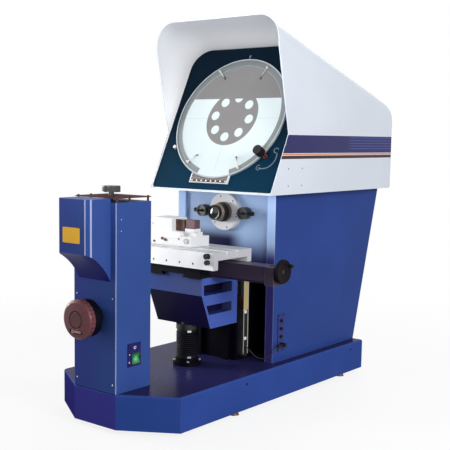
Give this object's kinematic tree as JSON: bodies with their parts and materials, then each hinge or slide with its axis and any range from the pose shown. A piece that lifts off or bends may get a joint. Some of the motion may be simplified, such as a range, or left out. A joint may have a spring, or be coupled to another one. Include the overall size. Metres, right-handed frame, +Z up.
{
  "type": "optical comparator",
  "caption": "Floor-standing optical comparator: lamp tower, work stage with a handwheel lift and cross table, and a hooded head with a round rotating screen.",
  "frame": {"origin": "on the floor, below the middle of the base's front edge", "axes": "+X to the operator's right, +Y back along the optical axis from the lamp tower to the column, +Z up"},
  "size_m": [0.5815, 1.232, 1.114],
  "materials": {
    "blue_paint": "satin",
    "dark_blue_paint": "satin",
    "light_blue_gloss": "gloss",
    "white_paint": "satin",
    "white_table": "satin",
    "navy_panel": "gloss",
    "black_metal": "satin",
    "black_plastic": "matte",
    "steel": "ground",
    "chrome": "polished",
    "iron": "machined",
    "brass": "machined",
    "brown_metal": "satin",
    "mauve_metal": "anodised",
    "grey_band": "satin",
    "ground_glass": "frosted",
    "lens": "polished",
    "mirror": "polished",
    "green_rocker": "gloss",
    "bellows_rubber": "matte",
    "lead_rubber": "matte",
    "maroon_plate": "satin",
    "scale_yellow": "satin",
    "lamp_ceramic": "glazed"
  },
  "bodies": {
    "frame": {"base": "blue_paint", "levelling_feet": "steel", "tower_housing": "blue_paint", "tower_head": "dark_blue_paint", "vent_cover": "brown_metal", "switch_plate": "dark_blue_paint", "lamp_unit": "lamp_ceramic", "collimator": "black_metal", "wheel_collar": "black_metal", "drive_belt": "bellows_rubber", "gearbox": "iron", "bellows_flange": "black_metal", "bellows": "bellows_rubber", "column_frame": "light_blue_gloss", "column_cover": "blue_paint", "guide_block": "iron", "mirror": "mirror", "mirror_frame": "iron", "lens_flange": "white_paint", "lens_barrel": "black_metal", "lens_glass": "lens", "illuminators": "black_metal", "connector_plates": "dark_blue_paint", "vertical_scale": "scale_yellow", "scale_lead": "lead_rubber", "head_shell": "white_paint", "screen_panel": "navy_panel", "vernier_plate": "maroon_plate"},
    "lift": {"knee": "blue_paint", "lift_nut": "brass", "scale_reader": "black_metal"},
    "lift_wheel": {"lift_wheel": "mauve_metal", "lift_shaft": "steel"},
    "lift_crank": {"lift_crank": "mauve_metal"},
    "drive_shaft": {"drive_shaft": "steel"},
    "lead_screw": {"lead_screw": "steel"},
    "focus_slide": {"saddle": "black_metal", "x_arm": "black_metal"},
    "focus_knob": {"focus_knob": "black_metal"},
    "table": {"table": "white_table", "vise_base": "white_table"},
    "quick_release": {"quick_release": "black_metal"},
    "table_clamp": {"table_clamp": "black_metal"},
    "x_wheel": {"x_screw": "steel", "x_wheel": "mauve_metal"},
    "x_crank_knob": {"x_crank_knob": "black_plastic"},
    "vise_jaw": {"vise_jaw": "mauve_metal"},
    "vise_screw": {"vise_screw": "steel"},
    "screen": {"screen_ring": "grey_band", "screen_glass": "ground_glass"},
    "clip_1": {"clip_1": "chrome"},
    "clip_2": {"clip_2": "chrome"},
    "clip_3": {"clip_3": "chrome"},
    "clip_4": {"clip_4": "chrome"},
    "screen_knob": {"screen_knob": "black_plastic"},
    "screen_clamp": {"screen_clamp": "chrome"},
    "power_rocker": {"power_rocker": "green_rocker"},
    "lid_knob": {"lid_knob": "black_metal"},
    "thumbscrew_left": {"thumbscrew_left": "black_metal"},
    "thumbscrew_right": {"thumbscrew_right": "black_metal"}
  },
  "joints": [
    {"name": "lift_travel", "type": "slide", "parent": "frame", "child": "lift", "axis": [0, 0, 1], "range_m": [-0.014, 0.088], "deforming": ["bellows"]},
    {"name": "lift_wheel_turn", "type": "hinge", "parent": "frame", "child": "lift_wheel", "pos_m": [0, -0.056, 0.303], "axis": [0, 1, 0], "range_deg": [-1012, 6340]},
    {"name": "lift_crank_fold", "type": "hinge", "parent": "lift_wheel", "child": "lift_crank", "pos_m": [-0.014, -0.062, 0.272], "axis": [0, 0, -1], "range_deg": [0, 90]},
    {"name": "drive_shaft_turn", "type": "hinge", "parent": "frame", "child": "drive_shaft", "pos_m": [0, 0.175, 0.058], "axis": [0, 1, 0], "range_deg": [-1012, 6340]},
    {"name": "lead_screw_turn", "type": "hinge", "parent": "frame", "child": "lead_screw", "pos_m": [0, 0.374, 0.09], "axis": [0, 0, 1], "range_deg": [-1012, 6340]},
    {"name": "focus_travel", "type": "slide", "parent": "lift", "child": "focus_slide", "axis": [0, 1, 0], "range_m": [-0.015, 0.015]},
    {"name": "focus_knob_turn", "type": "hinge", "parent": "lift", "child": "focus_knob", "pos_m": [-0.085, 0.436, 0.36795], "axis": [1, 0, 0], "range_deg": [-90, 90]},
    {"name": "cross_travel", "type": "slide", "parent": "focus_slide", "child": "table", "axis": [1, 0, 0], "range_m": [-0.1015, 0.1015]},
    {"name": "x_wheel_turn", "type": "hinge", "parent": "focus_slide", "child": "x_wheel", "pos_m": [0.3, 0.374, 0.415], "axis": [1, 0, 0], "range_deg": [-7320, 7320]},
    {"name": "x_crank_knob_turn", "type": "hinge", "parent": "x_wheel", "child": "x_crank_knob", "pos_m": [0.337, 0.39324, 0.43003], "axis": [1, 0, 0], "continuous": true},
    {"name": "quick_release_turn", "type": "hinge", "parent": "table", "child": "quick_release", "pos_m": [0.151, 0.2785, 0.4485], "axis": [0, 1, 0], "range_deg": [0, 90]},
    {"name": "table_clamp_turn", "type": "hinge", "parent": "table", "child": "table_clamp", "pos_m": [0.151, 0.2785, 0.4315], "axis": [0, 1, 0], "range_deg": [0, 90]},
    {"name": "vise_jaw_travel", "type": "slide", "parent": "table", "child": "vise_jaw", "axis": [1, 0, 0], "range_m": [-0.0055, 0.018]},
    {"name": "vise_screw_turn", "type": "hinge", "parent": "table", "child": "vise_screw", "pos_m": [-0.1, 0.374, 0.5205], "axis": [1, 0, 0], "range_deg": [-500, 1625]},
    {"name": "screen_turn", "type": "hinge", "parent": "frame", "child": "screen", "pos_m": [0, 0.562, 0.828], "axis": [0, -0.9003, 0.4352], "continuous": true},
    {"name": "clip_1_turn", "type": "hinge", "parent": "screen", "child": "clip_1", "pos_m": [-0.09402, 0.63147, 0.97171], "axis": [0, -0.9003, 0.4352], "range_deg": [-30, 30]},
    {"name": "clip_2_turn", "type": "hinge", "parent": "screen", "child": "clip_2", "pos_m": [0.0841, 0.63384, 0.97661], "axis": [0, -0.9003, 0.4352], "range_deg": [-30, 30]},
    {"name": "clip_3_turn", "type": "hinge", "parent": "screen", "child": "clip_3", "pos_m": [-0.10889, 0.49677, 0.69307], "axis": [0, -0.9003, 0.4352], "range_deg": [-30, 30]},
    {"name": "clip_4_turn", "type": "hinge", "parent": "screen", "child": "clip_4", "pos_m": [0.08697, 0.49081, 0.68074], "axis": [0, -0.9003, 0.4352], "range_deg": [-30, 30]},
    {"name": "screen_knob_turn", "type": "hinge", "parent": "frame", "child": "screen_knob", "pos_m": [0.16771, 0.50897, 0.7183], "axis": [0, -0.9003, 0.4352], "continuous": true},
    {"name": "screen_clamp_turn", "type": "hinge", "parent": "frame", "child": "screen_clamp", "pos_m": [-0.18017, 0.51853, 0.73808], "axis": [0, -0.9003, 0.4352], "range_deg": [-90, 90]},
    {"name": "power_rocker_tilt", "type": "hinge", "parent": "frame", "child": "power_rocker", "pos_m": [0.074, 0.072, 0.192], "axis": [0, 1, 0], "range_deg": [-6, 6]},
    {"name": "lid_knob_turn", "type": "hinge", "parent": "frame", "child": "lid_knob", "pos_m": [0, 0.0598, 0.6], "axis": [0, 0, 1], "continuous": true},
    {"name": "thumbscrew_left_turn", "type": "hinge", "parent": "frame", "child": "thumbscrew_left", "pos_m": [-0.098, 0.536, 0.547], "axis": [1, 0, 0], "continuous": true},
    {"name": "thumbscrew_right_turn", "type": "hinge", "parent": "frame", "child": "thumbscrew_right", "pos_m": [0.098, 0.536, 0.547], "axis": [1, 0, 0], "continuous": true}
  ],
  "couplings": [
    {"joint": "lift_wheel_turn", "follows": "lift_travel", "rad_per_m": 1256.6},
    {"joint": "drive_shaft_turn", "follows": "lift_travel", "rad_per_m": 1256.6},
    {"joint": "lead_screw_turn", "follows": "lift_travel", "rad_per_m": 1256.6},
    {"joint": "focus_knob_turn", "follows": "focus_travel", "rad_per_m": -100},
    {"joint": "x_wheel_turn", "follows": "cross_travel", "rad_per_m": 1256.6},
    {"joint": "vise_screw_turn", "follows": "vise_jaw_travel", "rad_per_m": 1570.8},
    {"joint": "screen_knob_turn", "follows": "screen_turn", "ratio": -33.5}
  ]
}
